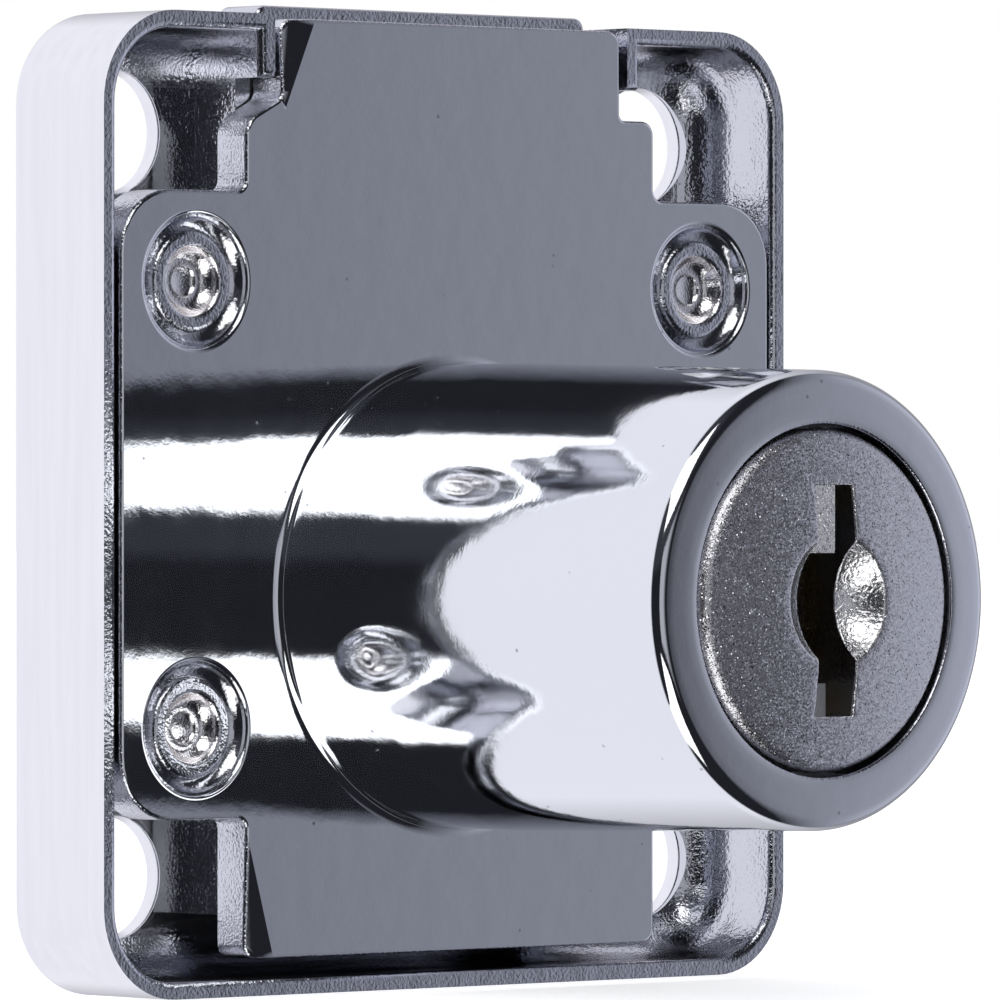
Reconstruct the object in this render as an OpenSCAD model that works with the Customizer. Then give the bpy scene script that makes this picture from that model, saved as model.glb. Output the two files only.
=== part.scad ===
// Surface drawer lock: die-cast tray, cross-shaped front with a barrel, wafer plug and an upward bolt.
// Millimetres. The front faces -Y and the bolt throws along +Z.
// The origin is the barrel's axis where it leaves the mounting plane.

/* [Case] */
// Width of the rear tray
case_w = 38; // [30:0.1:60]
// Height of the rear tray
case_h = 40; // [32:0.1:60]
// Depth of the tray behind the mounting plane
case_d = 6; // [4.5:0.1:12]
// Corner radius of the tray
case_r = 3.8; // [2.5:0.1:6]
// Thickness of the tray's side walls
case_wall = 0.7; // [0.6:0.05:1.5]
// Thickness of the tray's floor
floor_t = 1.5; // [1:0.1:3]
// Rounding of the tray's back edge
back_r = 0.8; // [0.3:0.1:1.2]
// Rounding where the floor meets the walls
inner_r = 0.6; // [0.2:0.1:1]
// Height of the tray's centre above the barrel's axis
case_rise = 3.8; // [0:0.1:8]

/* [Screw holes] */
// Hole spacing across the case
hole_dx = 29.4; // [24:0.1:40]
// Hole spacing up the case
hole_dz = 30.4; // [24:0.1:40]
// Diameter of a screw hole
hole_d = 5; // [3:0.1:6]
// Diameter of the countersink at the back
sink_d = 6.4; // [5:0.1:8]
// Depth of the countersink
sink_depth = 0.7; // [0.3:0.1:1]

/* [Front plate] */
// Thickness of the front plate
plate_t = 1.8; // [1.2:0.1:3]
// Side gap between the wings and the tray's walls
wing_gap = 0.2; // [0.1:0.05:0.6]
// Height of the wings
wing_h = 25.5; // [20:0.1:30]
// Corner radius of the wings
wing_r = 2.6; // [1:0.1:4]
// Width of the wide middle strip
step_w = 22.8; // [20:0.1:26]
// Top of the wide strip above the tray's centre
step_top = 16.1; // [14:0.1:18]
// Width of the tab between the flanges
tab_w = 18.9; // [14:0.1:22]
// How far the tab's end stays below the tray's top
tab_drop = 0.15; // [0:0.05:0.5]
// Bottom of the lower tab below the tray's centre
low_tab = 18.5; // [15:0.1:19]
// Sloped relief beside the tab on its left side
step_slope = 1; // [0.2:0.1:1.6]

/* [Barrel] */
// Diameter of the straight land at the barrel's root
barrel_d = 19.2; // [16:0.1:24]
// Diameter of the barrel at its front
barrel_front_d = 18.4; // [15:0.1:24]
// Length from the mounting plane to the front ring
barrel_l = 22; // [16:0.5:40]
// Length of the straight land
land_l = 5; // [3:0.5:8]
// Rounding of the barrel's front edge
front_r = 0.5; // [0.2:0.1:1]
// Fillet where the barrel meets the plate
root_r = 0.4; // [0.2:0.1:1]

/* [Plug] */
// Diameter of the plug's body
plug_d = 12; // [10:0.1:13]
// Running clearance of the plug on its radius
plug_fit = 0.05; // [0.02:0.01:0.1]
// Diameter of the plug's head
head_d = 13.9; // [12.8:0.1:15]
// Gap around the head on its radius
head_gap = 0.1; // [0.06:0.02:0.5]
// Thickness of the head at its edge
head_t = 2.3; // [1.5:0.1:3]
// How deep the head's edge lies behind the ring
head_sink = 0; // [0:0.05:1]
// Height of the head's dome
dome = 0.85; // [0.1:0.05:1.2]
// Height of the keyway
key_h = 9.2; // [6:0.1:10]
// Width of the keyway
key_w = 2.06; // [1.2:0.02:3]
// Keyway's end ahead of the mounting plane
key_end = 2.5; // [1:0.1:6]
// Width of the ward in the keyway's upper left
ward_w = 1.15; // [0.3:0.05:1.4]
// Foot of the ward above the axis
ward_z = 1.9; // [1:0.1:3]
// How deep the upper ward starts behind the face
ward_sink = 0.55; // [0.3:0.05:2]
// Height of the lower ward's top below the axis
low_ward_z = 3.3; // [2.5:0.1:4]
// How deep the lower ward starts behind the face
low_ward_sink = 1; // [0.6:0.1:3]
// Diameter of the round dimple at the keyway
dimple_d = 5.4; // [4:0.1:7]
// Depth of that dimple
dimple_depth = 1.6; // [0.5:0.1:2]

/* [Drive] */
// Distance of the drive pin from the axis
drive_e = 4; // [2:0.1:4.4]
// Diameter of the drive pin
drive_d = 2.6; // [1.6:0.1:3]
// Turn of the plug in degrees
turn = 180; // [90:5:180]
// Half width of the stop lug in degrees
lug_half = 14; // [8:1:20]
// Height of the stop lug along the axis
lug_t = 0.6; // [0.4:0.1:1]
// Reach of the stop lug beyond the plug's body
lug_reach = 0.75; // [0.4:0.05:1]

/* [Bolt] */
// Width of the bolt
bolt_w = 18.4; // [12:0.1:20]
// Gap in front of and behind the bolt
bolt_gap = 0.12; // [0.05:0.01:0.3]
// Side gap between bolt and guide ribs
rib_gap = 0.15; // [0.05:0.05:0.4]
// How far the drawn bolt stands above the tray
bolt_proud = 0.45; // [0:0.05:2]
// Bolt's foot below the barrel's axis
bolt_foot = 10.5; // [9:0.5:12]
// Rounding of the bolt's top corners
bolt_r = 0.5; // [0.3:0.1:2]
// Thickness of a guide rib
rib_t = 1; // [0.6:0.1:1.2]
// Foot of the guide ribs below the axis
rib_foot = 13; // [10:0.5:14]
// Inner half width of the opening in the top wall
mouth_half = 9.85; // [9:0.05:11]
// Depth of that opening below the tray's top
mouth_cut = 3; // [2:0.1:4]
// Thickness of the flanges beside the opening
flange_t = 0.75; // [0.5:0.05:1.2]
// Height of the flanges
flange_h = 2.6; // [1.5:0.1:4]

/* [Rivets] */
// Rivet spacing across the case
rivet_dx = 28.2; // [26:0.1:32]
// Rivet spacing up the case
rivet_dz = 18.1; // [14:0.1:20]
// Diameter of a rivet's shank
rivet_d = 3; // [2:0.1:4]
// Clearance of the shank on its radius
rivet_fit = 0.05; // [0.02:0.01:0.1]
// Diameter of the spun head
spun_d = 4.2; // [3.6:0.1:4.8]
// Diameter of the seat around the spun head
seat_d = 5.5; // [5:0.1:6]
// Depth of that seat
seat_depth = 0.55; // [0.3:0.05:0.9]
// Diameter of the cup in the spun head
cup_d = 2.9; // [1.5:0.1:3.4]
// Depth of the cup
cup_depth = 0.85; // [0.1:0.05:1.2]
// Diameter of the flush head at the back
flush_d = 5; // [4:0.1:6]
// Diameter of the bosses that carry the front plate
boss_d = 6; // [5:0.1:7]

/* [Wafers] */
// Thickness of a wafer
wafer_t = 0.8; // [0.5:0.05:1]
// Clearance of a wafer in its slot, each side
wafer_gap = 0.06; // [0.03:0.01:0.1]
// Distance from one wafer to the next
wafer_pitch = 1.9; // [1.7:0.05:2.2]
// Distance of the first wafer from the mounting plane
wafer_first = 17.8; // [14:0.1:18]
// Width of a wafer
wafer_w = 6.4; // [5:0.1:7]
// How far a wafer's ends stay inside the plug's surface
wafer_shy = 0.05; // [0.02:0.01:0.1]
// Spring travel of a wafer out of the plug
wafer_throw = 0.6; // [0.3:0.1:0.8]
// Width of the key window
window_w = 2.4; // [2:0.1:3]
// Height of the key window
window_h = 7.4; // [6:0.1:8]
// Height of one bitting step
bit_step = 0.3; // [0.2:0.05:0.4]
// Reach of the spring ear beside the wafer
ear_w = 1.7; // [1.2:0.1:2]
// Height of the spring ear
ear_h = 1; // [0.6:0.1:1.4]
// Height of the ear's underside above the axis
ear_z = 0.9; // [0.4:0.1:1.4]

/* [Springs] */
// Outer diameter of a wafer spring
spring_d = 1.2; // [0.9:0.05:1.4]
// Diameter of the spring wire
wire_d = 0.2; // [0.12:0.02:0.3]
// Length of a spring under its ear
spring_l = 3.5; // [2.5:0.1:4]
// Turns of a spring
coils = 5; // [3:1:8]
// Clearance of a spring in its pocket on its radius
pocket_gap = 0.1; // [0.05:0.01:0.2]

/* [Clip] */
// Thickness of the retaining clip
clip_t = 0.7; // [0.5:0.05:1]
// Outer diameter of the clip
clip_d = 14.2; // [13:0.1:15]
// Depth of the clip's groove in the plug
clip_groove = 0.7; // [0.4:0.05:1]
// Width of the clip's mouth
clip_mouth = 7; // [4:0.5:9]
// Clearance around the clip
clip_gap = 0.15; // [0.05:0.01:0.3]

/* [Hidden] */
wafer_count = 8;
bits = [1, 0, 2, 1, 0, 2, 1, 2];
round_fn = 96;
eps = 0.01;
over = 1;
floor_y = case_d - floor_t;
plug_r = plug_d / 2;
bore_r = plug_r + plug_fit;
head_r = head_d / 2;
ring_r = head_r + head_gap;
barrel_r = barrel_d / 2;
barrel_front_r = barrel_front_d / 2;
head_front = barrel_l - head_sink;
head_back = head_front - head_t;
seat_y = head_back - bolt_gap;
dome_r = (head_r * head_r + dome * dome) / (2 * dome);
face_y = head_front + dome;
dimple_rad = (dimple_d * dimple_d / 4 + dimple_depth * dimple_depth) / (2 * dimple_depth);
wafer_r = plug_r - wafer_shy;
chamber_half = wafer_w / 2 + 0.3;
chamber_r = wafer_r + wafer_throw + 0.4;
chamber_front = wafer_first + wafer_t / 2 + wafer_gap + 0.15;
chamber_back = wafer_first - (wafer_count - 1) * wafer_pitch - wafer_t / 2 - wafer_gap - 0.15;
clip_y = plate_t - clip_gap - 0.2 - clip_t;
clip_room = clip_y - clip_gap;
plug_end = plate_t - 0.05;
bolt_front = plate_t + bolt_gap;
bolt_back = floor_y - bolt_gap;
bolt_top = case_rise + case_h / 2 + bolt_proud;
bolt_throw = drive_e * (1 - cos(turn));
slip = 0.2105 * drive_e;
slot_half_h = drive_d / 2 + slip + rib_gap;
slot_half_w = drive_e + drive_d / 2 + 2 * rib_gap;
rib_x = bolt_w / 2 + rib_gap;
wing_w = case_w - 2 * case_wall - 2 * wing_gap;
tab_top = case_h / 2 - tab_drop;
spring_x = wafer_w / 2 + ear_w / 2 + 0.1;
pocket_r = spring_d / 2 + pocket_gap;
pocket_z = ear_z - spring_l - 2 * wafer_gap;

// Extrudes a drawing of the XZ plane from y0 to y1.
module along(y0, y1) {
  translate([0, y1, 0])
    rotate([90, 0, 0])
      linear_extrude(y1 - y0)
        children();
}

// Turns a profile about the barrel's axis, with its height running to the front.
module turned(sweep = 360) {
  rotate([90, 0, 0])
    rotate_extrude(angle = sweep, $fn = round_fn)
      children();
}

// A round bar along Y.
module bar(r, y0, y1, r_end = -1) {
  translate([0, y0, 0])
    rotate([-90, 0, 0])
      cylinder(r1 = r, r2 = r_end < 0 ? r : r_end, h = y1 - y0, $fn = round_fn);
}

// A rectangle with round corners, centred.
module rounded(w, h, r) {
  square([w - 2 * r, h], center = true);
  square([w, h - 2 * r], center = true);
  for (sx = [-1, 1], sz = [-1, 1])
    translate([sx * (w / 2 - r), sz * (h / 2 - r)])
      circle(r = r, $fn = round_fn);
}

// A block with round corners and a rounded back edge.
module pan(w, h, y0, y1, r, f) {
  along(y0, y1 - f) rounded(w, h, r);
  along(y0, y1) rounded(w - 2 * f, h - 2 * f, r - f);
  for (s = [-1, 1]) {
    translate([-(w / 2 - r), y1 - f, s * (h / 2 - f)])
      rotate([0, 90, 0])
        cylinder(r = f, h = w - 2 * r, $fn = round_fn);
    translate([s * (w / 2 - f), y1 - f, -(h / 2 - r)])
      cylinder(r = f, h = h - 2 * r, $fn = round_fn);
  }
  for (sx = [-1, 1], sz = [-1, 1])
    translate([sx * (w / 2 - r), y1 - f, sz * (h / 2 - r)])
      rotate([90, 0, 0])
        rotate_extrude($fn = round_fn)
          translate([r - f, 0])
            circle(r = f, $fn = round_fn);
}

// Places a child at the four corners of a rectangle about the tray's centre.
module corners(dx, dz) {
  for (sx = [-1, 1], sz = [-1, 1])
    translate([sx * dx / 2, 0, case_rise + sz * dz / 2])
      children();
}

// Die-cast tray behind the front plate: walls, floor, bosses, guide ribs and flanges.
module rear_case() {
  color("gainsboro")
    difference() {
      union() {
        difference() {
          translate([0, 0, case_rise])
            pan(case_w, case_h, 0, case_d, case_r, back_r);
          translate([0, 0, case_rise])
            pan(case_w - 2 * case_wall, case_h - 2 * case_wall, -1, floor_y, case_r - case_wall, inner_r);
          translate([-mouth_half, -over, case_rise + case_h / 2 - mouth_cut])
            cube([2 * mouth_half, over + floor_y, mouth_cut + over]);
        }
        corners(rivet_dx, rivet_dz)
          bar(boss_d / 2, plate_t, floor_y + eps);
        for (s = [0, 1])
          mirror([s, 0, 0]) {
            translate([rib_x, bolt_front, -rib_foot])
              cube([rib_t, floor_y - bolt_front + eps, case_rise + case_h / 2 - flange_h + rib_foot]);
            translate([mouth_half, 0, case_rise + case_h / 2 - flange_h])
              cube([flange_t, floor_y + eps, flange_h - case_wall / 2]);
          }
      }
      corners(hole_dx, hole_dz) {
        bar(hole_d / 2, floor_y - 1, case_d + 1);
        bar(hole_d / 2, case_d - sink_depth, case_d, sink_d / 2);
      }
      corners(rivet_dx, rivet_dz) {
        bar(rivet_d / 2 + rivet_fit, 0, case_d + 1);
        bar(rivet_d / 2 + rivet_fit, case_d - flush_d / 2 + rivet_d / 2, case_d, flush_d / 2 + rivet_fit);
      }
    }
}

// Outline of the cross-shaped front plate about the tray's centre.
module cross_outline() {
  rounded(wing_w, wing_h, wing_r);
  translate([-step_w / 2, -low_tab])
    square([step_w, low_tab]);
  translate([-tab_w / 2, 0])
    square([tab_w, tab_top]);
  polygon([
    [step_w / 2, 0],
    [step_w / 2, step_top],
    [-tab_w / 2, step_top],
    [-tab_w / 2, step_top + step_slope / 2],
    [-step_w / 2, step_top - step_slope / 2],
    [-step_w / 2, 0]
  ]);
}

// Outside profile of the barrel, from the mounting plane to the front ring.
module barrel_profile() {
  difference() {
    square([barrel_r + root_r, root_r]);
    translate([barrel_r + root_r, root_r])
      circle(r = root_r, $fn = round_fn);
  }
  polygon([
    [0, -plate_t / 2],
    [barrel_r, -plate_t / 2],
    [barrel_r, land_l],
    [barrel_front_r, barrel_l - front_r],
    [barrel_front_r - front_r, barrel_l - front_r],
    [barrel_front_r - front_r, barrel_l],
    [0, barrel_l]
  ]);
  translate([barrel_front_r - front_r, barrel_l - front_r])
    circle(r = front_r, $fn = round_fn);
}

// Front plate and barrel in one casting, bored for the plug.
module front_body() {
  color("lightgray")
    difference() {
      union() {
        along(0, plate_t)
          translate([0, case_rise])
            cross_outline();
        turned() barrel_profile();
      }
      bar(bore_r, -barrel_l - 1, plate_t + 1);
      bar(ring_r, -barrel_l - 1, -seat_y);
      bar(clip_d / 2 + 2 * clip_gap, clip_room, plate_t + 1);
      intersection() {
        translate([-chamber_half, -chamber_front, -chamber_r])
          cube([2 * chamber_half, chamber_front - chamber_back, 2 * chamber_r]);
        bar(chamber_r, -barrel_l, 0);
      }
      rotate([0, turn - 180 + lug_half + 1.5, 0])
        turned(turn + 2 * lug_half + 3)
          translate([bore_r - 1, seat_y - lug_t - bolt_gap / 2])
            square([1 + lug_reach + 0.1, lug_t + bolt_gap]);
      corners(rivet_dx, rivet_dz) {
        bar(rivet_d / 2 + rivet_fit, -1, plate_t + 1);
        bar(seat_d / 2, 0, seat_depth, spun_d / 2 + rivet_fit);
      }
    }
}

// Four rivets with a flush head at the back and a spun, cupped head in the plate's seat.
module rivets() {
  color("silver")
    corners(rivet_dx, rivet_dz)
      difference() {
        union() {
          bar(rivet_d / 2, seat_depth / 2, case_d - 0.2);
          bar(rivet_d / 2, case_d - flush_d / 2 + rivet_d / 2, case_d, flush_d / 2);
          bar(spun_d / 2, 0.12, seat_depth);
        }
        bar(cup_d / 2, 0, 0.12 + cup_depth, cup_d / 4);
      }
}

// Sliding bolt with the cross slot that the drive pin works in.
module bolt() {
  color("darkgray")
    along(bolt_front, bolt_back)
      difference() {
        union() {
          translate([-bolt_w / 2, -bolt_foot])
            square([bolt_w, bolt_top + bolt_foot - bolt_r]);
          translate([-bolt_w / 2 + bolt_r, -bolt_foot])
            square([bolt_w - 2 * bolt_r, bolt_top + bolt_foot]);
          for (s = [-1, 1])
            translate([s * (bolt_w / 2 - bolt_r), bolt_top - bolt_r])
              circle(r = bolt_r, $fn = round_fn);
        }
        translate([0, -drive_e])
          rounded(2 * slot_half_w, 2 * slot_half_h, slot_half_h - 0.4);
      }
}

// Room for one wafer, its ear and its spring, pointing up.
module wafer_room() {
  h = wafer_t + 2 * wafer_gap;
  translate([-wafer_w / 2 - wafer_gap, -h / 2, -plug_r - over])
    cube([wafer_w + 2 * wafer_gap, h, 2 * plug_r + 2 * over]);
  translate([0, -h / 2, ear_z - 2 * wafer_gap])
    cube([wafer_w / 2 + ear_w + 2 * wafer_gap, h, plug_r]);
  translate([spring_x, 0, pocket_z])
    cylinder(r = pocket_r, h = plug_r + 2, $fn = 48);
}

// Moves a child to wafer number i; every second one points down.
module wafer_place(i) {
  translate([0, -wafer_first + (i - 1) * wafer_pitch, 0])
    rotate([0, i % 2 == 1 ? 0 : 180, 0])
      children();
}

// Turning plug with domed head, keyway, wafer slots, stop lug and drive pin.
module plug() {
  color("whitesmoke")
    difference() {
      union() {
        intersection() {
          bar(head_r, -face_y - 1, -head_back);
          translate([0, dome_r - face_y, 0])
            sphere(r = dome_r, $fn = round_fn);
        }
        bar(plug_r, -head_back - eps, plug_end);
        rotate([0, lug_half - 180, 0])
          turned(2 * lug_half)
            translate([plug_r - 1, head_back - lug_t])
              square([1 + lug_reach, lug_t + 0.1]);
        translate([0, 0, -drive_e])
          bar(drive_d / 2, plug_end - 1, bolt_back);
      }
      difference() {
        translate([-key_w / 2, -face_y - 1, -key_h / 2])
          cube([key_w, face_y + 1 - key_end, key_h]);
        translate([-key_w / 2 - over, -face_y + ward_sink, ward_z])
          cube([ward_w + over, face_y, key_h]);
        translate([-key_w / 2 - over, -face_y + low_ward_sink, -key_h])
          cube([ward_w + over, face_y, key_h - low_ward_z]);
      }
      translate([0, dimple_depth - dimple_rad - face_y, 0])
        sphere(r = dimple_rad, $fn = round_fn);
      for (i = [1:wafer_count])
        wafer_place(i) wafer_room();
      difference() {
        bar(plug_r + 1, clip_y - clip_gap / 3, clip_y + clip_t + clip_gap / 3);
        bar(plug_r - clip_groove, 0, plate_t + 1);
      }
    }
}

// Spring-steel clip that keeps the plug from being drawn out.
module retaining_clip() {
  color("dimgray")
    along(clip_y, clip_y + clip_t)
      difference() {
        circle(r = clip_d / 2, $fn = round_fn);
        circle(r = plug_r - clip_groove + clip_gap / 3, $fn = round_fn);
        translate([-clip_mouth / 2, 0])
          square([clip_mouth, clip_d]);
      }
}

// One wafer pointing up, with its window set by the bitting step.
module wafer(i) {
  lift = (bits[i - 1] - 1) * bit_step;
  along(-wafer_t / 2, wafer_t / 2)
    difference() {
      union() {
        intersection() {
          circle(r = wafer_r, $fn = round_fn);
          square([wafer_w, 2 * plug_r], center = true);
        }
        translate([0, ear_z])
          square([wafer_w / 2 + ear_w, ear_h]);
      }
      translate([0, lift])
        square([window_w, window_h], center = true);
    }
}

// One wafer spring as a swept wire, standing on its pocket's floor.
module wafer_spring() {
  sides = 6;
  per_turn = 12;
  rings = coils * per_turn;
  r = spring_d / 2 - wire_d / 2;
  rise = (spring_l - wire_d) / rings;
  pts = [
    for (k = [0:rings], s = [0:sides - 1])
      let (a = 360 * k / per_turn, b = 360 * s / sides)
        [
          (r + wire_d / 2 * cos(b)) * cos(a),
          (r + wire_d / 2 * cos(b)) * sin(a),
          wire_d / 2 + k * rise + wire_d / 2 * sin(b)
        ]
  ];
  skin = [
    for (k = [0:rings - 1], s = [0:sides - 1])
      let (n = (s + 1) % sides, p = k * sides, q = p + sides)
        each [[p + s, q + n, p + n], [p + s, q + s, q + n]]
  ];
  first = [for (s = [0:sides - 1]) s];
  last = [for (s = [0:sides - 1]) rings * sides + sides - 1 - s];
  translate([spring_x, 0, ear_z - wafer_gap / 2 - spring_l])
    polyhedron(points = pts, faces = concat(skin, [first, last]), convexity = 8);
}

rear_case();
front_body();
rivets();
bolt();
plug();
retaining_clip();
for (i = [1:wafer_count]) {
  color("goldenrod") wafer_place(i) wafer(i);
  color("slategray") wafer_place(i) wafer_spring();
}
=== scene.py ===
"""Looks of the surface drawer lock: plated castings, satin plug, spun rivets, studio dome and camera."""

import math

import bmesh
import bpy
from mathutils import Matrix, Vector


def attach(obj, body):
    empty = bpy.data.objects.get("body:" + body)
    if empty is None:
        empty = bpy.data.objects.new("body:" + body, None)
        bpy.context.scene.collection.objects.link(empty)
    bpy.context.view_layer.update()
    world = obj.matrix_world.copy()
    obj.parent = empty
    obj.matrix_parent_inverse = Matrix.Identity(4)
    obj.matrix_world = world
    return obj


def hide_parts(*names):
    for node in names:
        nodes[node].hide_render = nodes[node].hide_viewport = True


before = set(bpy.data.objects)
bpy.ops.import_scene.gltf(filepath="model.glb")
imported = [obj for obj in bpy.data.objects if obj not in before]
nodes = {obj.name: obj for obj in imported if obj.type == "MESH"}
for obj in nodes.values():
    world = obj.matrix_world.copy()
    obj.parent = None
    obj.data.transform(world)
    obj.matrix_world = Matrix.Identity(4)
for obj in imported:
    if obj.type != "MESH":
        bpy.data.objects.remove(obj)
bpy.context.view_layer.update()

MM = 0.001
SAME = 0.002 * MM  # places closer than this are one

# Sizes in millimetres, most of them as in the part's source. X runs to the right, Y to the back and Z up.
# The plate's front lies at Y 0, and the barrel's axis at X 0 and Z 0.
RISE = 3.8  # middle of case and plate above the barrel's axis
CASE_D = 6.0
FLOOR_Y = 4.5
CORNER_X, CORNER_Z = 15.2, 16.2  # centres of the case's rounded corners, from its middle
INNER_R = 3.1
FILLET = 2.3
SCREW_X, SCREW_Z, SCREW_R = 14.7, 15.2, 2.5
PLATE_T = 1.8
PLATE_EDGE = 0.15
WING_X, WING_Z = 18.1, 12.75
TAB_X, TAB_TOP = 9.45, 19.85
STEP_X, FOOT_Z = 11.4, 18.5
ROLL_DEPTH = 0.45  # how far behind the plate's front the rolled corners may reach
ROLL_TURN = 10.5
BARREL_R, FRONT_R = 9.6, 9.2
ROOT = 0.4
ROOT_R = 10.4
RING_R = 7.05
CLIP_ROOM_R = 7.4
RIVET_X, RIVET_Z = 14.1, 9.05
SEAT_R = 3.05
SHANK_R, SHANK_HOLE_R = 1.5, 1.56
BOLT_X, BOLT_TOP, BOLT_FOOT = 9.2, 20.45, -10.5
BOLT_GAP = 0.12
SLOT_X, SLOT_Z, SLOT_HALF, SLOT_R = 5.6, -4, 2.292, 1.89
HEAD_R = 6.87
HEAD_FRONT = 22.0
HEAD_BACK = 19.7
DOME = 0.85
DIMPLE_R = 2.7
DIMPLE_DEPTH = 1.6
KEY_W = 2.06
KEY_H = 9.2
RIVETS = [(sx * RIVET_X, RISE + sz * RIVET_Z) for sx in (-1, 1) for sz in (-1, 1)]


# Tools for the meshes


def bend(cx, cy, r, start, stop, steps):
    """Points of an arc in a profile, angles in degrees."""
    turns = [math.radians(start + (stop - start) * i / steps) for i in range(steps + 1)]
    return [(cx + r * math.cos(t), cy + r * math.sin(t)) for t in turns]


def lathe(bm, profile, x=0.0, z=0.0, steps=160):
    """Spins an open profile of (radius, y) points in mm about a line along Y through x, z."""
    verts = [bm.verts.new(((x + r) * MM, y * MM, z * MM)) for r, y in profile]
    edges = [bm.edges.new(pair) for pair in zip(verts, verts[1:])]
    bmesh.ops.spin(bm, geom=verts + edges, cent=(x * MM, 0, z * MM), axis=(0, 1, 0), angle=2 * math.pi,
                   steps=steps, use_merge=True)


def outline_edges(bm, corners, y):
    """A closed outline in the plane of y from (x, z, corner radius) points in mm."""
    flat = bmesh.new()
    verts = [flat.verts.new((x * MM, y * MM, z * MM)) for x, z, r in corners]
    flat.faces.new(verts)
    for v, (x, z, r) in zip(verts, corners):
        if r:
            bmesh.ops.bevel(flat, geom=[v], affect="VERTICES", offset=r * MM, offset_type="OFFSET",
                            segments=8, profile=0.5, material=-1)
    ring = [bm.verts.new(loop.vert.co) for loop in flat.faces[:][0].loops]
    flat.free()
    return [bm.edges.new(pair) for pair in zip(ring, ring[1:] + ring[:1])]


def lying(x, y, z):
    """Places a shape made along Z so that it points along Y, at x, y, z in mm."""
    return Matrix.Translation((x * MM, y * MM, z * MM)) @ Matrix.Rotation(math.pi / 2, 4, "X")


def fill(bm, corners, round_holes, y, inner=()):
    """A flat face in the plane of y with its outline, round holes (x, z, r, segments) and inner outlines."""
    rim = outline_edges(bm, corners, y)
    edges = rim[:]
    for loop in inner:
        edges += outline_edges(bm, loop, y)
    for x, z, r, n in round_holes:
        ring = bmesh.ops.create_circle(bm, cap_ends=False, radius=r * MM, segments=n, matrix=lying(x, y, z))
        edges += list({e for v in ring["verts"] for e in v.link_edges})
    filled = bmesh.ops.triangle_fill(bm, use_beauty=True, edges=edges)["geom"]
    return rim, [g for g in filled if isinstance(g, bmesh.types.BMFace)]


def push(bm, made, y):
    """Moves the new vertices of an extrusion along Y, in mm."""
    verts = [g for g in made if isinstance(g, bmesh.types.BMVert)]
    bmesh.ops.translate(bm, vec=(0, y * MM, 0), verts=verts)


def round_edges(bm, wanted, offset, segments):
    """Rounds the sharp edges that wanted(edge) picks."""
    sharp = math.radians(40)
    picked = [e for e in bm.edges if e.is_manifold and e.calc_face_angle() > sharp and wanted(e)]
    bmesh.ops.bevel(bm, geom=picked, affect="EDGES", offset=offset * MM, offset_type="OFFSET",
                    segments=segments, profile=0.5, material=-1, clamp_overlap=False)


def at(y):
    """Picks edges that lie in the plane of y, in mm."""
    return lambda e: all(abs(v.co.y - y * MM) < SAME for v in e.verts)


def off_axis(spot, x=0.0, z=0.0):
    """How far a place lies from a line along Y through x, z, in mm."""
    return math.hypot(spot.x / MM - x, spot.z / MM - z)


def off_rings(spot):
    """Whether a place on the plate is clear of the barrel's root and of the rivets' seats."""
    return off_axis(spot) > ROOT_R + 0.2 and all(off_axis(spot, x, z) > SEAT_R + 0.15 for x, z in RIVETS)


def merged_solid(name):
    """A copy of a solid's mesh with its loose triangles joined."""
    bm = bmesh.new()
    bm.from_mesh(nodes[name].data)
    bmesh.ops.remove_doubles(bm, verts=bm.verts[:], dist=SAME)
    return bm


def as_mesh(bm, name):
    """Hands a bmesh over to a new mesh."""
    mesh = bpy.data.meshes.new(name)
    bm.to_mesh(mesh)
    bm.free()
    return mesh


def finish_piece(bm, name, body, replaced, finishes, inside=None):
    """Closes a mesh, adds the solid's inside, keeps sharp edges and hands it to its body with its finishes."""
    bmesh.ops.remove_doubles(bm, verts=bm.verts[:], dist=SAME)
    bmesh.ops.recalc_face_normals(bm, faces=bm.faces[:])
    if inside:
        bm.from_mesh(inside)
    bm.normal_update()
    for e in bm.edges:
        level = [max(abs(n) for n in f.normal) > 0.99999 for f in e.link_faces]
        turn = math.degrees(e.calc_face_angle(math.pi))
        e.smooth = turn < 4 or turn < 35 and all(level) == any(level)
    for f in bm.faces:
        f.smooth = True
    mesh = as_mesh(bm, name)
    for finish in finishes:
        mesh.materials.append(finish)
    piece = bpy.data.objects.new(name, mesh)
    bpy.context.scene.collection.objects.link(piece)
    flat = piece.modifiers.new("flat_faces_stay_flat", "WEIGHTED_NORMAL")
    flat.keep_sharp = True
    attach(piece, body)
    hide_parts(*replaced)


# Pieces of the lock


def roll_off(bm, upper, lower):
    """Turns back the plate's front left of a line between two (x, z) places, where buffing has worn it."""
    start, stop = (Vector((x, 0, z)) * MM for x, z in (upper, lower))
    along = (stop - start).normalized()
    outward = Vector((0, 1, 0)).cross(along)
    beside = lambda v: stop.z - 0.01 * MM < v.co.z < start.z + 0.01 * MM
    in_front = lambda v: -0.01 * MM < v.co.y < ROLL_DEPTH * MM
    near = [f for f in bm.faces if all(map(in_front, f.verts)) and any(map(beside, f.verts))]
    near += list({e for f in near for e in f.edges}) + list({v for f in near for v in f.verts})
    bmesh.ops.bisect_plane(bm, geom=near, plane_co=start, plane_no=outward, dist=0.0005 * MM)
    past = [v for v in bm.verts
            if v.co.y < ROLL_DEPTH * MM and beside(v) and (v.co - start).dot(outward) > 0.001 * MM]
    turn = Matrix.Rotation(math.radians(ROLL_TURN), 3, along)
    bmesh.ops.rotate(bm, cent=start, matrix=turn, verts=past)


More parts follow.
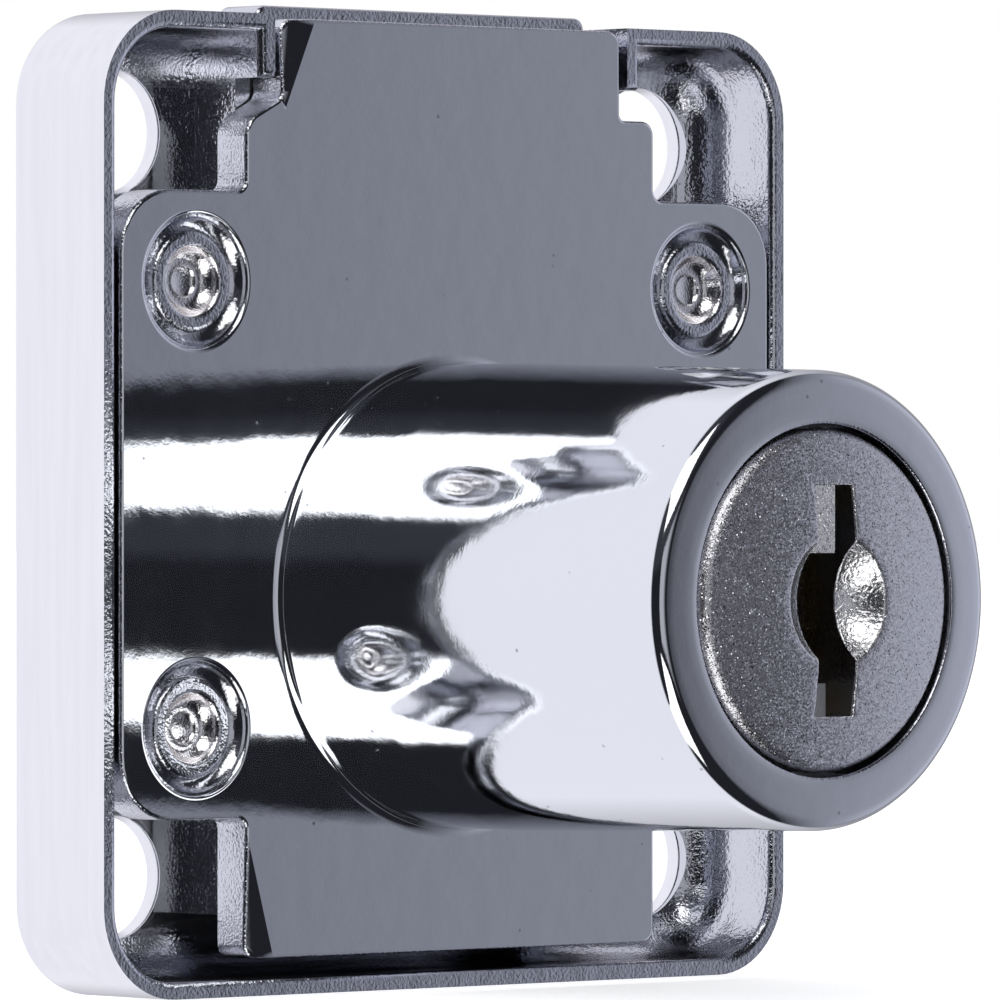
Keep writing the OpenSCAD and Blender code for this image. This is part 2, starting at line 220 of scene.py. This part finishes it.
def make_front_body():
    """Cross-shaped plate, four rivet seats and the barrel, as one casting."""
    bm = bmesh.new()
    top, low = RISE + WING_Z, RISE - WING_Z
    cross = [(-TAB_X, RISE + TAB_TOP, 0.6), (TAB_X, RISE + TAB_TOP, 0.6), (TAB_X, RISE + 16.1, 0.3),
             (STEP_X, RISE + 16.1, 0.6), (STEP_X, top, 0.5), (WING_X, top, 2.6), (WING_X, low, 2.6),
             (STEP_X, low, 0.5), (STEP_X, RISE - FOOT_Z, 0.6), (-STEP_X, RISE - FOOT_Z, 0.6),
             (-STEP_X, low, 0.5), (-WING_X, low, 2.6), (-WING_X, top, 2.6), (-STEP_X, top, 0.5),
             (-STEP_X, RISE + 15.6, 0.6), (-TAB_X, RISE + 16.6, 0.3)]
    rim = fill(bm, cross, [(x, z, SEAT_R, 64) for x, z in RIVETS] + [(0, 0, ROOT_R, 192)], 0)[0]
    push(bm, bmesh.ops.extrude_edge_only(bm, edges=rim)["geom"], PLATE_T)
    fill(bm, cross, [(x, z, SHANK_HOLE_R, 64) for x, z in RIVETS] + [(0, 0, CLIP_ROOM_R, 80)], PLATE_T)
    cup = [(SEAT_R, 0), (2.92, 0)] + bend(2.92, 0.2, 0.2, -90, -155, 4)[1:]
    cup += bend(2.0, -0.15, 0.7, 26, 88, 7) + [(SHANK_HOLE_R, 0.55), (SHANK_HOLE_R, PLATE_T)]
    for x, z in RIVETS:
        lathe(bm, cup, x, z, 64)
    barrel = [(ROOT_R, 0)] + bend(BARREL_R + ROOT, -ROOT, ROOT, 90, 180, 8)
    barrel += [(BARREL_R, -0.7), (BARREL_R, -4.7), (BARREL_R, -5.0), (9.593, -5.3), (9.207, -21.0)]
    barrel += bend(FRONT_R - 0.6, -21.32, 0.6, 0, -86, 8) + [(8.3, -21.94), (7.8, -21.98), (7.4, -21.998)]
    barrel += bend(RING_R + 0.1, -21.9, 0.1, -90, -180, 4) + [(RING_R, -19.58)]
    lathe(bm, barrel, steps=192)
    bmesh.ops.remove_doubles(bm, verts=bm.verts[:], dist=SAME)
    bmesh.ops.recalc_face_normals(bm, faces=bm.faces[:])
    round_edges(bm, lambda e: at(0)(e) and all(off_rings(v.co) for v in e.verts), PLATE_EDGE, 3)
    roll_off(bm, (-7.65, RISE + TAB_TOP), (-9.15, RISE + 16.45))
    roll_off(bm, (-STEP_X, RISE - 13.3), (-9.95, RISE - FOOT_Z))
    bm.normal_update()
    for f in bm.faces:
        spot = f.calc_center_median()
        edge = abs(f.normal.y) < 0.93 and off_rings(spot)
        back = spot.y > (PLATE_T - 0.01) * MM
        lip = spot.y < -21.7 * MM and off_axis(spot) < RING_R + 0.1
        seat = spot.y > 0.01 * MM and any(off_axis(spot, x, z) < 2.8 for x, z in RIVETS)
        f.material_index = 2 if back else 3 if edge else 1 if lip else 4 if seat else 0
    # the head's seat, the bore and the rooms for wafers, lug and clip are those of the solid
    bored = merged_solid("front_body")
    within = lambda v: off_axis(v.co) < 8.9 and v.co.y > -19.6 * MM
    outside = [f for f in bored.faces if not all(map(within, f.verts))]
    bmesh.ops.delete(bored, geom=outside, context="FACES")
    for f in bored.faces:
        f.material_index = 2
    finish_piece(bm, "front_casting", "casing", ["front_body"],
                 [chrome, cast_chrome, zinc, flank_chrome, seat_chrome], as_mesh(bored, "bored_inside"))


def reach(spot):
    """How far a place lies from the line through the case's corner centres: INNER_R at the inner walls."""
    over_x, over_z = abs(spot.x / MM) - CORNER_X, abs(spot.z / MM - RISE) - CORNER_Z
    return math.hypot(max(over_x, 0), max(over_z, 0)) + min(max(over_x, over_z), 0)


def in_screw_hole(spot):
    """Whether a place lies in one of the four screw holes or on its rim."""
    return math.hypot(abs(spot.x / MM) - SCREW_X, abs(spot.z / MM - RISE) - SCREW_Z) < SCREW_R + 0.15


def make_rear_case():
    """Tray casting: the solid with a softened rim, joined with the wide fillet between floor and walls."""
    tray, band, room, cutter = merged_solid("rear_case"), bmesh.new(), bmesh.new(), bmesh.new()
    bmesh.ops.dissolve_limit(tray, angle_limit=math.radians(0.4), verts=tray.verts[:], edges=tray.edges[:])
    round_edges(tray, lambda e: at(0)(e) and all(reach(v.co) < 3.3 for v in e.verts), 0.28, 4)
    round_edges(tray, lambda e: at(0)(e) and any(reach(v.co) > 3.9 for v in e.verts), 0.16, 3)
    round_edges(tray, at(CASE_D), 0.1, 2)
    round_edges(tray, lambda e: at(FLOOR_Y)(e) and all(in_screw_hole(v.co) for v in e.verts), 0.2, 3)
    skin = 0.004  # the room reaches this far past the tray's own walls and floor
    for shape, r, y0, y1 in ((band, INNER_R + 0.3, FLOOR_Y - FILLET, FLOOR_Y + 0.05),
                             (room, INNER_R + skin, 0, FLOOR_Y + skin)):
        w, h = CORNER_X + r, CORNER_Z + r
        corners = [(-w, RISE + h, r), (w, RISE + h, r), (w, RISE - h, r), (-w, RISE - h, r)]
        face = bmesh.ops.contextual_create(shape, geom=outline_edges(shape, corners, y0))["faces"]
        push(shape, bmesh.ops.extrude_face_region(shape, geom=face)["geom"], y1 - y0)
    round_edges(room, at(FLOOR_Y + skin), FILLET, 12)
    hole_r = (SCREW_R + 0.02) * MM
    for x in (-SCREW_X, SCREW_X):
        for z in (-SCREW_Z, SCREW_Z):
            bmesh.ops.create_cone(cutter, cap_ends=True, radius1=hole_r, radius2=hole_r, depth=5 * MM,
                                  segments=96, matrix=lying(x, FLOOR_Y, RISE + z))
    mouth_size = Matrix.Diagonal((19.7 * MM, 5.6 * MM, 4.0 * MM, 1.0))
    mouth = Matrix.Translation((0, 1.8 * MM, (RISE + 19.0) * MM)) @ mouth_size
    bmesh.ops.create_cube(cutter, size=1.0, matrix=mouth)
    things = []
    for shape in (tray, band, room, cutter):
        bmesh.ops.recalc_face_normals(shape, faces=shape.faces[:])
        things.append(bpy.data.objects.new("tray_stage", as_mesh(shape, "tray_stage")))
        bpy.context.scene.collection.objects.link(things[-1])
    for host, tool, how in ((1, 2, "DIFFERENCE"), (1, 3, "DIFFERENCE"), (0, 1, "UNION")):
        join = things[host].modifiers.new("join", "BOOLEAN")
        join.operation, join.object, join.solver = how, things[tool], "EXACT"
    bm = bmesh.new()
    bm.from_object(things[0], bpy.context.evaluated_depsgraph_get())
    for thing in things:
        bpy.data.meshes.remove(thing.data)
    bm.normal_update()
    for f in bm.faces:
        inside = any(reach(v.co) < 3.68 and v.co.y < 5.1 * MM for v in f.verts)
        spot = f.calc_center_median()
        bored = spot.y > (FLOOR_Y + 0.1) * MM and in_screw_hole(spot)
        level = inside and f.normal.y < -0.999 and spot.y > 4 * MM
        f.material_index = 0 if bored else 2 if level else 1 if inside else 0
    finish_piece(bm, "tray_casting", "casing", ["rear_case"], [satin, cast_chrome, chrome])


def make_rivets():
    """Four rivets: flat struck ring around a spun cup in front, shank, and a flush head behind."""
    bm = bmesh.new()
    rivet = [(0.0, 1.0), (0.5, 0.97), (0.62, 0.92), (0.68, 0.84)] + bend(0.6, 0.1, 0.83, 68, 16, 7)
    rivet += [(1.46, 0.27), (1.52, 0.24), (1.6, 0.23), (1.87, 0.23), (1.99, 0.26), (2.07, 0.33), (2.1, 0.42)]
    rivet += [(2.1, 0.55), (SHANK_R, 0.55), (SHANK_R, CASE_D - 1.0), (2.5, CASE_D), (0.0, CASE_D)]
    for x, z in RIVETS:
        lathe(bm, rivet, x, z, 48)
    for f in bm.faces:
        spot = f.calc_center_median()
        off = min(off_axis(spot, x, z) for x, z in RIVETS)
        f.material_index = 1 if 1.45 < off < 2.2 and spot.y < 0.5 * MM else 0
    finish_piece(bm, "spun_rivets", "casing", ["rivets"], [spun, struck])


def make_bolt():
    """Flat bolt with softened edges and the cross slot for the drive pin."""
    bm = bmesh.new()
    front, back, top = PLATE_T + BOLT_GAP, FLOOR_Y - BOLT_GAP, RISE + BOLT_TOP
    plate = [(-BOLT_X, top, 0.5), (BOLT_X, top, 0.5), (BOLT_X, BOLT_FOOT, 0.4), (-BOLT_X, BOLT_FOOT, 0.4)]
    slot = [(sx * SLOT_X, SLOT_Z + sz * SLOT_HALF, SLOT_R) for sx, sz in ((-1, 1), (1, 1), (1, -1), (-1, -1))]
    face = fill(bm, plate, [], front, [slot])[1]
    push(bm, bmesh.ops.extrude_face_region(bm, geom=face)["geom"], back - front)
    round_edges(bm, lambda e: at(front)(e) or at(back)(e), 0.2, 3)
    finish_piece(bm, "cast_bolt", "bolt", ["bolt"], [cast_chrome])


def cut_keyway(bm, lip):
    """Cuts the keyway into the plug's face, with a rounded lip, and sinks its walls to the head's back."""
    half_w, half_h = (KEY_W / 2 + lip) * MM, (KEY_H / 2 + lip) * MM
    for place, across in (((half_w, 0, 0), (1, 0, 0)), ((-half_w, 0, 0), (1, 0, 0)),
                          ((0, 0, half_h), (0, 0, 1)), ((0, 0, -half_h), (0, 0, 1))):
        bmesh.ops.bisect_plane(bm, geom=bm.verts[:] + bm.edges[:] + bm.faces[:], plane_co=place,
                               plane_no=across, dist=0.0005 * MM)
    spots = {f: f.calc_center_median() for f in bm.faces}
    opened = [f for f in bm.faces if abs(spots[f].x) < half_w and abs(spots[f].z) < half_h]
    bmesh.ops.delete(bm, geom=opened, context="FACES")
    for f in bm.faces:
        f.material_index = 2 if off_axis(spots[f]) < DIMPLE_R - 0.1 else 0
    mouth = [e for e in bm.edges if e.is_boundary and all(v.co.y < -20.2 * MM for v in e.verts)]
    for turn in (30, 60, 90, None):
        made = bmesh.ops.extrude_edge_only(bm, edges=mouth)["geom"]
        mouth = [g for g in made if isinstance(g, bmesh.types.BMEdge) and g.is_boundary]
        ends = [g for g in made if isinstance(g, bmesh.types.BMVert)]
        for g in made:
            if isinstance(g, bmesh.types.BMFace):
                g.material_index = 2 if turn else 1
        if turn:
            here, before = math.radians(turn), math.radians(turn - 30)
            step = lip * MM * (math.sin(here) - math.sin(before))
            drop = lip * MM * (math.cos(before) - math.cos(here))
            bmesh.ops.scale(bm, vec=(1 - step / half_w, 1, 1 - step / half_h), verts=ends)
            bmesh.ops.translate(bm, vec=(0, drop, 0), verts=ends)
        else:
            bmesh.ops.scale(bm, vec=(1, 0, 1), verts=ends, space=Matrix.Translation((0, HEAD_BACK * MM, 0)))


def add_wards(bm):
    """Two wards in the left half of the keyway, the upper one with a slanted front."""
    for low, high, sink, slant, finish in ((1.9, 4.75, 0.8, 0.34, 2), (-4.75, -3.3, 1.0, 0, 3)):
        front = sink - HEAD_FRONT - DOME
        size = (1.35 * MM, (-HEAD_BACK - front) * MM, (high - low) * MM)
        middle = Vector((-0.555, (front - HEAD_BACK) / 2, (low + high) / 2)) * MM
        place = Matrix.Translation(middle) @ Matrix.Diagonal((*size, 1.0))
        ward = bmesh.ops.create_cube(bm, size=1.0, matrix=place)["verts"]
        for side in (-1, 1):
            leaning = [v for v in ward if v.co.y < middle.y and side * (v.co.x - middle.x) > 0]
            bmesh.ops.translate(bm, vec=(0, -side * slant * MM, 0), verts=leaning)
        for f in {f for v in ward for f in v.link_faces}:
            f.material_index = finish


def make_plug():
    """Plug with a domed head, softened edge, keyway, wards and polished dimple, on the body of the solid."""
    bm = bmesh.new()
    dome_r = (HEAD_R ** 2 + DOME ** 2) / (2 * DOME)
    ball = (DIMPLE_R ** 2 + DIMPLE_DEPTH ** 2) / (2 * DIMPLE_DEPTH)
    dome_y = lambda r: -HEAD_FRONT - DOME + dome_r - math.sqrt(dome_r ** 2 - r * r)
    dish_y = lambda r: -HEAD_FRONT - DOME + DIMPLE_DEPTH - ball + math.sqrt(ball ** 2 - r * r)
    face = [(r, dish_y(r)) for r in (0.0, 0.3, 0.6, 0.9, 1.2, 1.5, 1.75, 2.0, 2.2, 2.35, 2.48)]
    face += [(2.56, dish_y(2.56) - 0.01), (2.64, dome_y(2.64) + 0.03), (2.74, dome_y(2.74))]
    face += [(r, dome_y(r)) for r in (3.1, 3.6, 4.2, 4.8, 5.4, 5.8, 6.0)]
    edge, lip = 0.6, 0.09
    face += bend(HEAD_R - edge, dome_y(HEAD_R - edge) + edge, edge, -78, 0, 6) + [(HEAD_R, -HEAD_BACK)]
    lathe(bm, face)
    bmesh.ops.remove_doubles(bm, verts=bm.verts[:], dist=SAME)
    cut_keyway(bm, lip)
    add_wards(bm)
    body = merged_solid("plug")
    bmesh.ops.bisect_plane(body, geom=body.verts[:] + body.edges[:] + body.faces[:],
                           plane_co=(0, -HEAD_BACK * MM, 0), plane_no=(0, -1, 0), clear_outer=True)
    finish_piece(bm, "keyed_plug", "plug", ["plug"], [pearl, cast_chrome, dimple, zinc],
                 as_mesh(body, "plug_body"))


# Metals and finishes


def tint(hex_value):
    """An sRGB hex colour as linear RGBA."""
    parts = [int(hex_value[i:i + 2], 16) / 255 for i in (1, 3, 5)]
    return [c / 12.92 if c <= 0.04045 else ((c + 0.055) / 1.055) ** 2.4 for c in parts] + [1.0]


def add(tree, kind, links=None, **settings):
    """Adds a node, sets its fields, and fills its inputs with values or with other nodes' outputs."""
    made = tree.nodes.new(kind)
    for key, value in settings.items():
        setattr(made, key, value)
    for key, value in (links or {}).items():
        if isinstance(value, bpy.types.NodeSocket):
            tree.links.new(value, made.inputs[key])
        else:
            made.inputs[key].default_value = value
    return made


def new_material(name):
    """An empty node material with its tree and its output."""
    made = bpy.data.materials.new(name)
    made.use_nodes = True
    made.node_tree.nodes.clear()
    return made, made.node_tree, made.node_tree.nodes.new("ShaderNodeOutputMaterial")


def polished_chrome():
    """Bright chrome plate on a buffed zinc casting: near mirror, wavy, with thin haze and a few small pits."""
    made, tree, out = new_material("polished_chrome_on_zinc")
    spot = add(tree, "ShaderNodeTexCoord").outputs["Object"]
    ripple = add(tree, "ShaderNodeTexNoise", {
        "Vector": spot, "Scale": 1 / (1.5 * MM), "Detail": 3.0, "Roughness": 0.45})
    haze = add(tree, "ShaderNodeTexNoise", {
        "Vector": spot, "Scale": 1 / (3.5 * MM), "Detail": 5.0, "Roughness": 0.65})
    cells = add(tree, "ShaderNodeTexVoronoi", {"Vector": spot, "Scale": 1 / (1.7 * MM)})
    pits = add(tree, "ShaderNodeMapRange", {0: cells.outputs["Distance"], 1: 0.02, 2: 0.06, 3: 1.0, 4: 0.0})
    film = add(tree, "ShaderNodeMapRange", {0: haze.outputs[0], 1: 0.3, 2: 0.75, 3: 0.03, 4: 0.09})
    dull = add(tree, "ShaderNodeMath", {0: pits.outputs[0], 1: 0.3, 2: film.outputs[0]},
               operation="MULTIPLY_ADD")
    shade = add(tree, "ShaderNodeMix", {0: pits.outputs[0], 6: tint("#EEF0F4"), 7: tint("#B9BBC2")},
                data_type="RGBA")
    fine = add(tree, "ShaderNodeTexNoise", {
        "Vector": spot, "Scale": 1 / (0.13 * MM), "Detail": 2.0, "Roughness": 0.6})
    wave = add(tree, "ShaderNodeBump", {"Height": ripple.outputs[0], "Distance": 0.008 * MM, "Strength": 1.0})
    bump = add(tree, "ShaderNodeBump", {
        "Height": fine.outputs[0], "Distance": 0.001 * MM, "Strength": 1.0, "Normal": wave.outputs[0]})
    skin = add(tree, "ShaderNodeBsdfPrincipled", {
        "Base Color": shade.outputs[2], "Metallic": 1.0, "Roughness": dull.outputs[0],
        "Normal": bump.outputs[0]})
    tree.links.new(skin.outputs[0], out.inputs[0])
    return made


def rough_chrome(name, size, depth):
    """Chrome plate on raw castings: a leathery grain, size and depth in mm, breaks light into specks."""
    made, tree, out = new_material(name)
    spot = add(tree, "ShaderNodeTexCoord").outputs["Object"]
    grain = add(tree, "ShaderNodeTexNoise", {
        "Vector": spot, "Scale": 1 / (size * MM), "Detail": 1.5, "Roughness": 0.5})
    lumps = add(tree, "ShaderNodeTexNoise", {
        "Vector": spot, "Scale": 1 / (1.1 * MM), "Detail": 2.0, "Roughness": 0.5})
    coarse = add(tree, "ShaderNodeBump", {"Height": lumps.outputs[0], "Distance": 0.03 * MM, "Strength": 1.0})
    fine = add(tree, "ShaderNodeBump", {
        "Height": grain.outputs[0], "Distance": depth * MM, "Strength": 1.0, "Normal": coarse.outputs[0]})
    skin = add(tree, "ShaderNodeBsdfPrincipled", {
        "Base Color": tint("#DCDDE4"), "Metallic": 1.0, "Roughness": 0.15, "Normal": fine.outputs[0]})
    tree.links.new(skin.outputs[0], out.inputs[0])
    return made


def satin_chrome():
    """Chrome plate over an unbuffed wall: soft grey-white with fine upright polishing lines."""
    made, tree, out = new_material("satin_chrome_on_zinc")
    spot = add(tree, "ShaderNodeTexCoord").outputs["Object"]
    stretch = add(tree, "ShaderNodeMapping", {"Vector": spot, "Scale": (1.0, 1.0, 0.05)})
    lines = add(tree, "ShaderNodeTexNoise", {
        "Vector": stretch.outputs[0], "Scale": 1 / (0.5 * MM), "Detail": 3.0})
    shade = add(tree, "ShaderNodeMix", {0: lines.outputs[0], 6: tint("#F1F1F5"), 7: tint("#FDFDFF")},
                data_type="RGBA")
    bump = add(tree, "ShaderNodeBump", {"Height": lines.outputs[0], "Distance": 0.004 * MM, "Strength": 0.5})
    skin = add(tree, "ShaderNodeBsdfPrincipled", {
        "Base Color": shade.outputs[2], "Metallic": 1.0, "Roughness": 0.18, "Normal": bump.outputs[0]})
    tree.links.new(skin.outputs[0], out.inputs[0])
    return made


def pearl_satin():
    """Satin plate on the plug's face: a soft sheen, and a few tilted facets that glitter in the light."""
    made, tree, out = new_material("pearl_satin_plate_on_zinc")
    spot = add(tree, "ShaderNodeTexCoord").outputs["Object"]
    facets = add(tree, "ShaderNodeTexVoronoi", {"Vector": spot, "Scale": 1 / (0.05 * MM)})
    red, green, blue = add(tree, "ShaderNodeSeparateColor", {0: facets.outputs["Color"]}).outputs
    steep = add(tree, "ShaderNodeMapRange", {0: blue, 1: 0.86, 2: 0.93, 3: 0.3, 4: 0.9}).outputs[0]
    ways = add(tree, "ShaderNodeCombineXYZ", {0: red, 1: 0.5, 2: green})
    lean = add(tree, "ShaderNodeVectorMath", {0: ways.outputs[0], 1: (0.5, 0.5, 0.5)}, operation="SUBTRACT")
    level = add(tree, "ShaderNodeNewGeometry").outputs["Normal"]
    tilted = add(tree, "ShaderNodeVectorMath", {0: lean.outputs[0], 1: steep, 2: level},
                 operation="MULTIPLY_ADD")
    facing = add(tree, "ShaderNodeVectorMath", {0: tilted.outputs[0]}, operation="NORMALIZE")
    gloss = add(tree, "ShaderNodeMapRange", {0: blue, 1: 0.86, 2: 0.93, 3: 0.32, 4: 0.14})
    skin = add(tree, "ShaderNodeBsdfPrincipled", {
        "Base Color": tint("#E4E3E7"), "Metallic": 1.0, "Roughness": gloss.outputs[0],
        "Normal": facing.outputs[0]})
    tree.links.new(skin.outputs[0], out.inputs[0])
    return made


def worn_dimple():
    """Dimple at the keyway's middle, rubbed bright by keys: shiny and slightly hammered."""
    made, tree, out = new_material("rubbed_bright_plate")
    spot = add(tree, "ShaderNodeTexCoord").outputs["Object"]
    dents = add(tree, "ShaderNodeTexNoise", {
        "Vector": spot, "Scale": 1 / (0.17 * MM), "Detail": 2.0, "Roughness": 0.5})
    bump = add(tree, "ShaderNodeBump", {"Height": dents.outputs[0], "Distance": 0.05 * MM, "Strength": 1.0})
    skin = add(tree, "ShaderNodeBsdfPrincipled", {
        "Base Color": tint("#F6F6F8"), "Metallic": 1.0, "Roughness": 0.26, "Normal": bump.outputs[0]})
    tree.links.new(skin.outputs[0], out.inputs[0])
    return made


def spun_metal():
    """Rivet ends closed by a spinning tool: light grey with a fine grain and a soft shine."""
    made, tree, out = new_material("spun_plated_rivet")
    spot = add(tree, "ShaderNodeTexCoord").outputs["Object"]
    grain = add(tree, "ShaderNodeTexNoise", {
        "Vector": spot, "Scale": 1 / (0.12 * MM), "Detail": 1.5, "Roughness": 0.55})
    worn = add(tree, "ShaderNodeMapRange", {0: grain.outputs[0], 1: 0.3, 2: 0.7, 3: 0.12, 4: 0.22})
    bump = add(tree, "ShaderNodeBump", {"Height": grain.outputs[0], "Distance": 0.018 * MM, "Strength": 1.0})
    skin = add(tree, "ShaderNodeBsdfPrincipled", {
        "Base Color": tint("#F8F6F8"), "Metallic": 1.0, "Roughness": worn.outputs[0],
        "Normal": bump.outputs[0]})
    tree.links.new(skin.outputs[0], out.inputs[0])
    return made


def cast_zinc():
    """Zinc as it leaves the die: dull light grey with flow marks and small pits."""
    made, tree, out = new_material("as_cast_zinc")
    spot = add(tree, "ShaderNodeTexCoord").outputs["Object"]
    grain = add(tree, "ShaderNodeTexNoise", {
        "Vector": spot, "Scale": 1 / (0.2 * MM), "Detail": 4.0, "Roughness": 0.65})
    worn = add(tree, "ShaderNodeMapRange", {0: grain.outputs[0], 1: 0.3, 2: 0.7, 3: 0.3, 4: 0.5})
    bump = add(tree, "ShaderNodeBump", {"Height": grain.outputs[0], "Distance": 0.07 * MM, "Strength": 1.0})
    skin = add(tree, "ShaderNodeBsdfPrincipled", {
        "Base Color": tint("#D2D2CF"), "Metallic": 1.0, "Roughness": worn.outputs[0],
        "Normal": bump.outputs[0]})
    tree.links.new(skin.outputs[0], out.inputs[0])
    return made


def stamped_brass():
    """Yellow brass strip with rolling lines, for the wafers."""
    made, tree, out = new_material("stamped_brass")
    spot = add(tree, "ShaderNodeTexCoord").outputs["Object"]
    stretch = add(tree, "ShaderNodeMapping", {"Vector": spot, "Scale": (1.0, 1.0, 0.08)})
    lines = add(tree, "ShaderNodeTexNoise", {
        "Vector": stretch.outputs[0], "Scale": 1 / (0.12 * MM), "Detail": 2.0})
    worn = add(tree, "ShaderNodeMapRange", {0: lines.outputs[0], 1: 0.3, 2: 0.7, 3: 0.22, 4: 0.42})
    skin = add(tree, "ShaderNodeBsdfPrincipled", {
        "Base Color": tint("#C4A258"), "Metallic": 1.0, "Roughness": worn.outputs[0]})
    tree.links.new(skin.outputs[0], out.inputs[0])
    return made


def spring_steel():
    """Drawn and tempered steel, faintly streaked, for the springs and the clip."""
    made, tree, out = new_material("spring_steel")
    spot = add(tree, "ShaderNodeTexCoord").outputs["Object"]
    streak = add(tree, "ShaderNodeTexNoise", {"Vector": spot, "Scale": 1 / (0.3 * MM), "Detail": 3.0})
    worn = add(tree, "ShaderNodeMapRange", {0: streak.outputs[0], 1: 0.3, 2: 0.7, 3: 0.2, 4: 0.4})
    skin = add(tree, "ShaderNodeBsdfPrincipled", {
        "Base Color": tint("#9A9CA2"), "Metallic": 1.0, "Roughness": worn.outputs[0]})
    tree.links.new(skin.outputs[0], out.inputs[0])
    return made


chrome, satin = polished_chrome(), satin_chrome()
cast_chrome = rough_chrome("chrome_on_raw_cast_zinc", 0.15, 0.024)
flank_chrome = rough_chrome("chrome_on_raw_flanks", 0.12, 0.036)
pearl, dimple, spun = pearl_satin(), worn_dimple(), spun_metal()
struck = rough_chrome("chrome_on_struck_rivet_rings", 0.13, 0.028)
seat_chrome = rough_chrome("chrome_in_rivet_seats", 0.15, 0.01)
zinc, brass, steel = cast_zinc(), stamped_brass(), spring_steel()

make_front_body()
make_rear_case()
make_rivets()
make_bolt()
make_plug()
for name, node in nodes.items():
    node.data.materials.clear()
    node.data.materials.append(brass if name.startswith("wafer_") and "spring" not in name else steel)


# Stage


def studio_dome():
    """White room behind, dark room in front with two soft boxes, a pale screen and a grey-blue card."""
    world = bpy.data.worlds.new("studio_dome")
    bpy.context.scene.world = world
    world.use_nodes = True
    tree = world.node_tree
    tree.nodes.clear()
    way = add(tree, "ShaderNodeTexCoord").outputs["Generated"]
    x, y, z = add(tree, "ShaderNodeSeparateXYZ", {0: way}).outputs
    front = add(tree, "ShaderNodeMapRange", {0: y, 1: -0.1, 2: 0.1, 3: 1.0, 4: 0.0}).outputs[0]
    rear = add(tree, "ShaderNodeMapRange", {0: y, 1: -0.05, 2: 0.12, 3: 0.0, 4: 1.0}).outputs[0]
    # each light: its colour, its strength, and its edges as (direction, from, to, value before, value after)
    soft = 0.012
    lights = [
        ("#FFFFFF", front, [(z, 0.44 - soft, 0.44 + soft, 0, 1.7), (z, 0.9 - soft, 0.9 + soft, 1, 0),
                            (x, -0.7 - soft, -0.7 + soft, 0, 1), (x, -0.04 - soft, -0.04 + soft, 1, 0)]),
        ("#FFFFFF", front, [(z, -0.9 - soft, -0.9 + soft, 0, 1.7), (z, -0.34 - soft, -0.34 + soft, 1, 0),
                            (x, -0.7 - soft, -0.7 + soft, 0, 1), (x, -0.17 - soft, -0.17 + soft, 1, 0)]),
        ("#F4F6FF", front, [(x, -0.48, -0.42, 0, 0.45), (x, 0.0, 0.3, 1, 0),
                            (z, -0.26, -0.2, 0, 1), (z, 0.22, 0.28, 1, 0)]),
        ("#E9EDFF", front, [(x, 0.47, 1.0, 0, 0.7)]),
        ("#E4E8FF", front, [(z, -1.0, 1.0, 0.02, 0.02)]),
        ("#E4E8FF", front, [(z, 0.17, 0.26, 0, 0.03), (x, 0.0, 0.2, 1, 0)]),
        ("#F6F6FF", rear, [(x, 0.3, 0.8, 0.95, 0.35)]),
    ]
    glow = None
    for colour, strength, edges in lights:
        for side, low, high, before, after in edges:
            edge = add(tree, "ShaderNodeMapRange", {0: side, 1: low, 2: high, 3: before, 4: after}).outputs[0]
            strength = add(tree, "ShaderNodeMath", {0: strength, 1: edge}, operation="MULTIPLY").outputs[0]
        light = add(tree, "ShaderNodeBackground", {"Color": tint(colour), "Strength": strength}).outputs[0]
        glow = add(tree, "ShaderNodeAddShader", {0: glow, 1: light}).outputs[0] if glow else light
    white = add(tree, "ShaderNodeBackground", {"Color": (1, 1, 1, 1), "Strength": 1.0})
    seen = add(tree, "ShaderNodeLightPath").outputs["Is Camera Ray"]
    either = add(tree, "ShaderNodeMixShader", {0: seen, 1: glow, 2: white.outputs[0]})
    tree.links.new(either.outputs[0], tree.nodes.new("ShaderNodeOutputWorld").inputs[0])


def pale_floor():
    """A white floor under the lock that keeps a faint soft shadow close to it."""
    bm = bmesh.new()
    below = Matrix.Translation((0, 0, -16.4 * MM))
    bmesh.ops.create_grid(bm, x_segments=1, y_segments=1, size=2.0, matrix=below)
    mesh = as_mesh(bm, "pale_floor")
    floor = bpy.data.objects.new("pale_floor", mesh)
    bpy.context.scene.collection.objects.link(floor)
    made, tree, out = new_material("white_card")
    matt = add(tree, "ShaderNodeBsdfDiffuse", {"Color": tint("#F4F4F4")})
    seen = add(tree, "ShaderNodeLightPath").outputs["Is Camera Ray"]
    lift = add(tree, "ShaderNodeMath", {0: seen, 1: 0.7}, operation="MULTIPLY")
    glow = add(tree, "ShaderNodeEmission", {"Color": (1, 1, 1, 1), "Strength": lift.outputs[0]})
    both = add(tree, "ShaderNodeAddShader", {0: matt.outputs[0], 1: glow.outputs[0]})
    tree.links.new(both.outputs[0], out.inputs[0])
    mesh.materials.append(made)
    floor.visible_glossy = False


def photo_camera():
    """Long lens at the barrel's height, to the left of the lock."""
    lens = bpy.data.cameras.new("photo_camera")
    lens.lens, lens.sensor_width = 364, 36
    lens.clip_start, lens.clip_end = 0.01, 20
    cam = bpy.data.objects.new("photo_camera", lens)
    bpy.context.scene.collection.objects.link(cam)
    cam.location = Vector((-281.7, -309.8, 4.87)) * MM
    tilt = math.radians(0.123)
    view = Vector((0.6761 * math.cos(tilt), 0.7368 * math.cos(tilt), -math.sin(tilt)))
    cam.rotation_mode = "QUATERNION"
    cam.rotation_quaternion = view.to_track_quat("-Z", "Y")
    bpy.context.scene.camera = cam


studio_dome()
pale_floor()
photo_camera()
bpy.context.scene.view_settings.view_transform = "Standard"
